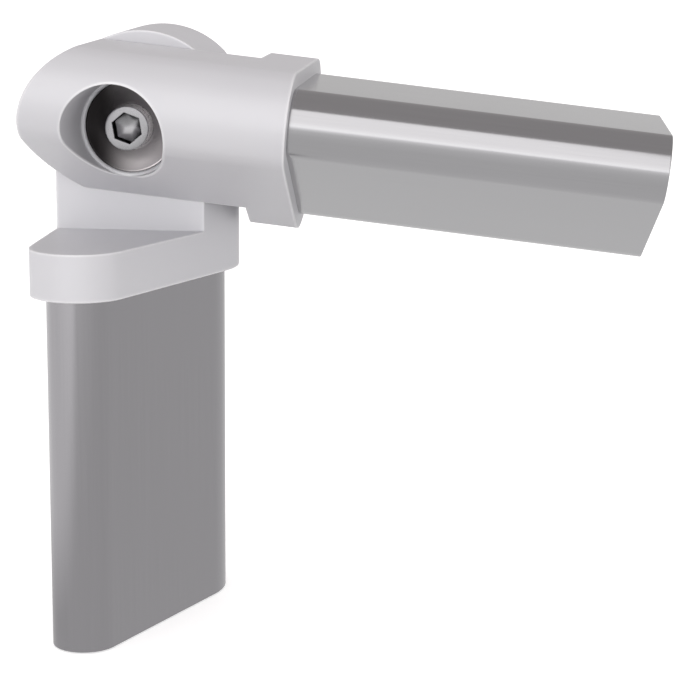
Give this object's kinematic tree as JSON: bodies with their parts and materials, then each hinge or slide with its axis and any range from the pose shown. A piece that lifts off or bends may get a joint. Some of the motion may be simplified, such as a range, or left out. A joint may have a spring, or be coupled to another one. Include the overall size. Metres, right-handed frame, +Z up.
{
  "type": "railing angle joint",
  "caption": "Adjustable angle joint for a handrail: a post head and a rail body of teardrop section meet in a half lap and turn about a recessed socket-head bolt.",
  "frame": {"origin": "on the post's lower end, under the pivot axis and in the plane where the two castings lap", "axes": "+Z up along the post, +Y away from the front along the pivot axis, +X towards the rail"},
  "size_m": [0.1845, 0.098, 0.1818],
  "materials": {
    "post_steel": "satin",
    "cast_grey": "pale silver powder coat",
    "rail_steel": "polished",
    "bolt_steel": "satin",
    "dish_steel": "polished",
    "screw_steel": "plain",
    "spring_steel": "plain",
    "bush_bronze": "plain",
    "friction_lining": "matte",
    "cover_plastic": "satin"
  },
  "bodies": {
    "fixed_side": {"post": "post_steel", "post_head": "cast_grey", "post_screws": "screw_steel", "pivot_bolt": "bolt_steel", "lug_bush": "bush_bronze", "friction_disc": "friction_lining", "stop_pin": "screw_steel", "disc_springs": "spring_steel", "nut_washer": "screw_steel", "pivot_nut": "screw_steel", "back_cover": "cover_plastic"},
    "rail_side": {"swivel_body": "cast_grey", "rail": "rail_steel", "rail_screws": "screw_steel", "dish_washer": "dish_steel", "body_bush": "bush_bronze"}
  },
  "joints": [
    {"name": "rail_angle", "type": "hinge", "parent": "fixed_side", "child": "rail_side", "pos_m": [0, 0, 0.1546], "axis": [0, 1, 0], "range_deg": [-96, 5]}
  ]
}
